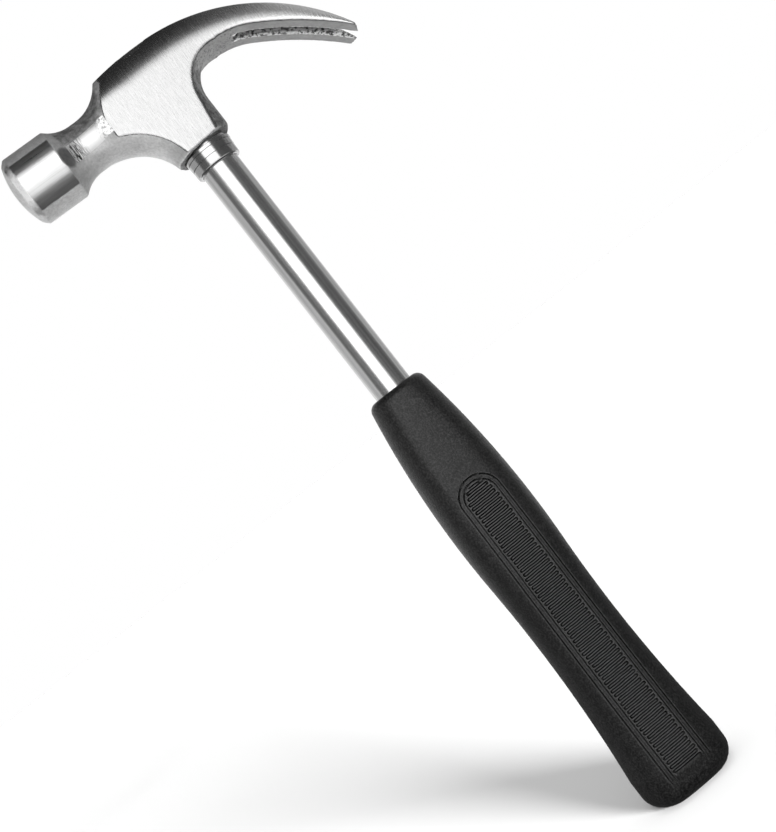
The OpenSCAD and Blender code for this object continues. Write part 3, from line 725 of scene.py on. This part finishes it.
def grip_ring(height):
    """One closed ring of the sleeve at a height, and how much painted sheen each of its points has."""
    half_w = rounded_half(height, SWELL_W, WAIST_W, BUTT_W)
    half_t = rounded_half(height, SWELL_T, WAIST_T, BUTT_T)
    flare = 1.0 + PANEL_FLARE * ramp(PANEL_TOP - height, 0.0, PANEL_TOP)
    across = panel_columns * min(flare, PANEL_SHARE * half_w / PANEL_EDGE)
    angle = np.arctan2(half_t, across)
    for _ in range(OUTLINE_TRIES):
        angle = np.arccos(np.clip(across / outline_reach(angle, half_w, half_t), -1, 1))
    depth, painted_sheen = panel_relief(panel_columns, height)
    panel = np.column_stack([across, outline_reach(angle, half_w, half_t) * np.sin(angle) - depth])
    turn = np.linspace(angle[-1], -angle[-1], FLANK_COLUMNS + 2)[1:-1]
    out = outline_reach(np.abs(turn) + 1e-9, half_w, half_t)
    flank = np.column_stack([out * np.cos(turn), out * np.sin(turn)])
    ring = np.concatenate([panel, flank, panel[::-1] * (1, -1), flank[::-1] * (-1, 1)])
    ring += (-math.tan(GRIP_LEAN) * (GRIP_TOP - height), 0)
    plain = np.zeros(FLANK_COLUMNS)
    wave = rib_wave(panel_columns, height)
    level = height + np.concatenate([wave, plain, -wave[::-1], plain])
    return np.column_stack([ring, level]), np.concatenate([painted_sheen, plain, painted_sheen[::-1], plain])


# Rows and columns of the sleeve lie close together where its relief is fine.
rows = np.concatenate([
    BUTT_ROUND * (1 - np.cos(ROUND_STEPS)),
    np.arange(FOOT_START, RIB_FOOT - FOOT_STEP, FOOT_STEP),
    (RIB_TOP - np.arange(RUNS - 1, -1, -1)[:, None] * RUN_PITCH + RUN_STEPS).ravel(),
    np.arange(ARCH_START, ARCH_END, ARCH_STEP),
    np.linspace(PLAIN_START, GRIP_TOP - SHOULDER_ROUND, PLAIN_ROWS),
    GRIP_TOP - SHOULDER_ROUND * (1 - np.sin(ROUND_STEPS[1:])),
    [GRIP_TOP]])
panel_half = np.concatenate([
    np.linspace(0, 4.2, 7), np.linspace(4.4, 5.4, 6), [5.7], BORDER_IN + BORDER_STEPS, [6.95, 7.4],
    BORDER_OUT + BORDER_STEPS, [8.75, PANEL_EDGE]])
panel_columns = np.concatenate([-panel_half[:0:-1], panel_half])
outer = [grip_ring(height) for height in rows]
rings = [ring for ring, painted_sheen in outer]
painted_sheen = [painted_sheen for ring, painted_sheen in outer]
around = len(rings[0])
bearing = np.arctan2(rings[-1][:, 1], rings[-1][:, 0])
for bore_r, height in GRIP_BORE:
    bore = bore_r * np.column_stack([np.cos(bearing), np.sin(bearing)])
    rings.append(np.column_stack([bore, np.full(around, height)]))
    painted_sheen.append(np.zeros(around))
wrapped = np.arange(around + 1) % around
bpy.ops.object.select_all(action="DESELECT")
bpy.ops.mesh.primitive_grid_add(x_subdivisions=around, y_subdivisions=len(rings) - 1, calc_uvs=False)
grip = bpy.context.object
grip.name = "grip_sleeve"
place_corners(grip, np.array(rings)[:, wrapped])
paint(grip, "painted_sheen", np.array(painted_sheen)[:, wrapped].ravel())
edit_all(grip)
bpy.ops.mesh.remove_doubles(threshold=MERGE * MM)
bpy.ops.mesh.fill_holes(sides=0)
bpy.ops.mesh.normals_make_consistent(inside=False)
bpy.ops.object.mode_set(mode="OBJECT")
bpy.ops.object.shade_smooth_by_angle(angle=GRIP_SMOOTH)

LEATHER_GRAIN, LEATHER_RELIEF, LEATHER_ROUGH = 1300.0, 0.18, (0.34, 0.54)
SPECK_GRAIN, SPECK_EDGE, SPECK_TONE = 1700.0, (0.44, 0.64), (0.001, 0.026)
SHEEN_TONE, SHEEN_PLAY = 0.088, (0.5, 1.2)
RUBBER_SPECULAR = 0.5
rubber = Finish("grip_rubber")
leather = rubber.grain(LEATHER_GRAIN)
creases = rubber.edge(leather, *NOISE_SPAN)
# The pale rib tops and rim lines are a painted sheen, paler where the leather noise allows.
pale = rubber.times(rubber.painted("painted_sheen"), rubber.spread(creases, *SHEEN_PLAY), SHEEN_TONE)
# Pale specks in the rubber's colour: the grain's own tone, and painted glints on the grain.
specks = rubber.spread(rubber.edge(rubber.grain(SPECK_GRAIN), *SPECK_EDGE), *SPECK_TONE)
rubber.surface(Base_Color=rubber.grey(rubber.calc("ADD", pale, specks)),
               Roughness=rubber.spread(creases, *LEATHER_ROUGH),
               Specular_IOR_Level=RUBBER_SPECULAR,
               Normal=rubber.relief(leather, LEATHER_RELIEF))
grip.data.materials.append(rubber.material)
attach(grip, "root")
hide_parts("grip")

# Studio: a plain white floor and background. The bright metal mirrors dark cards round the object and a grey
# wall on each side, which the camera doesn't see. A soft box by the camera lights the object, and two lamps
# light the floor alone. Sizes are in metres and angles in degrees.
FLOOR_SIZE, FLOOR_GREY = (60, 60), (0.4, 0.4, 0.4, 1)
BLACK, WHITE = (0, 0, 0, 1), (1, 1, 1, 1)
LEVEL, UPRIGHT = (0, 0, 0), (90, 0, 90)
CARDS = (
    ("card_left", (0.89, 1.6), (-0.88, -0.559, 0.82), (90, 0, -74), 0.15),
    ("card_right", (1.45, 0.85), (0.84, -0.54, 0.445), (90, 0, 57), 0.12),
    ("card_top", (1.65, 3.1), (-0.475, 0.25, 1.25), LEVEL, 0.04),
    ("card_top_mid", (0.35, 3.1), (0.525, 0.25, 1.25), LEVEL, 0.12),
    ("card_top_right", (0.6, 3.1), (1.0, 0.25, 1.25), LEVEL, 0.6),
    ("card_low", (1.0, 0.74), (0, 0.03, 0.0005), LEVEL, 0.1),
    ("card_floor_left", (1.2, 0.7), (-0.95, 0.05, 0.001), LEVEL, 0.15),
    ("wall_left", (2.4, 2.2), (-1.7, 0.95, 1.1), UPRIGHT, 0.58),
    ("card_floor_right", (1.2, 0.7), (0.95, 0.05, 0.001), LEVEL, 0.15),
    ("wall_right", (2.4, 2.2), (1.7, 0.95, 1.1), UPRIGHT, 0.46))
SKY_ON_OBJECT, SKY_SEEN = 0.6, 1.0


def radians_of(turn):
    return [math.radians(angle) for angle in turn]


def stage_plane(name, size, place, turn):
    bpy.ops.object.select_all(action="DESELECT")
    bpy.ops.mesh.primitive_plane_add(size=1, location=place, rotation=radians_of(turn))
    plane = bpy.context.object
    plane.name = name
    plane.scale = (*size, 1)
    bpy.ops.object.transform_apply(location=True, rotation=True, scale=True)
    return plane


def mirrored_card(name, size, place, turn, glow):
    """A card with a faint even glow that shows only in reflections."""
    card = stage_plane(name, size, place, turn)
    cloth = Finish(name + "_cloth")
    cloth.surface(Base_Color=BLACK, Specular_IOR_Level=0.0, Emission_Color=WHITE, Emission_Strength=glow)
    card.data.materials.append(cloth.material)
    card.visible_camera = False
    card.visible_diffuse = False
    card.visible_shadow = False
    card.visible_transmission = False


def lamp(kind, name, place, turn, **settings):
    bpy.ops.object.light_add(type=kind, location=place, rotation=radians_of(turn))
    light = bpy.context.object
    light.name = name
    for key, value in settings.items():
        setattr(light.data, key, value)
    return light


floor = stage_plane("floor", FLOOR_SIZE, (0, 0, 0), LEVEL)
floor_white = Finish("floor_white")
floor_white.surface(Base_Color=FLOOR_GREY, Roughness=1.0, Specular_IOR_Level=0.0)
floor.data.materials.append(floor_white.material)
for card in CARDS:
    mirrored_card(*card)

lamp("AREA", "soft_box", (-0.2, -1.45, 0.62), (78, 0, -11),
     shape="RECTANGLE", size=1.5, size_y=1.0, energy=6.1)
floor_sun = lamp("SUN", "floor_sun", (1, -3, 1), (82, 0, 18), angle=math.radians(14), energy=31.5)
floor_overhead = lamp("SUN", "floor_overhead", (0, 0, 2), LEVEL, angle=math.radians(70), energy=1.9)
only_floor = bpy.data.collections.new("only_floor")
only_floor.objects.link(floor)
for light in (floor_sun, floor_overhead):
    light.visible_glossy = False
    light.light_linking.receiver_collection = only_floor

world = bpy.data.worlds.new("studio")
bpy.context.scene.world = world
world.use_nodes = True
sky = world.node_tree.nodes["Background"]
sky.inputs["Color"].default_value = WHITE
paths = world.node_tree.nodes.new("ShaderNodeLightPath")
seen = paths.outputs["Is Camera Ray"]
for path in ("Is Glossy Ray", "Is Transmission Ray"):
    either = world.node_tree.nodes.new("ShaderNodeMath")
    either.operation = "MAXIMUM"
    world.node_tree.links.new(seen, either.inputs[0])
    world.node_tree.links.new(paths.outputs[path], either.inputs[1])
    seen = either.outputs["Value"]
strength = world.node_tree.nodes.new("ShaderNodeMapRange")
strength.inputs["To Min"].default_value = SKY_ON_OBJECT
strength.inputs["To Max"].default_value = SKY_SEEN
world.node_tree.links.new(seen, strength.inputs["Value"])
world.node_tree.links.new(strength.outputs["Result"], sky.inputs["Strength"])

# Camera: level with the middle of the handle, in front of the near cheek, and rolled so that the handle runs
# across the picture from the upper left to the lower right.
CAMERA_AT = (-61.1, -470.5, 169.0)
CAMERA_TURN, CAMERA_ROLL = 6.5, 37.93
CAMERA_LENS, CAMERA_SENSOR, CAMERA_NEAR = 57.68, 36.0, 10.0
camera_at = [value * MM for value in CAMERA_AT]
bpy.ops.object.camera_add(location=camera_at, rotation=radians_of((90, 0, -CAMERA_TURN)))
camera = bpy.context.object
camera.rotation_euler.rotate_axis("Z", -math.radians(CAMERA_ROLL))
camera.data.lens = CAMERA_LENS
camera.data.sensor_width = CAMERA_SENSOR
camera.data.clip_start = CAMERA_NEAR * MM
bpy.context.scene.camera = camera
bpy.context.scene.view_settings.view_transform = "Standard"
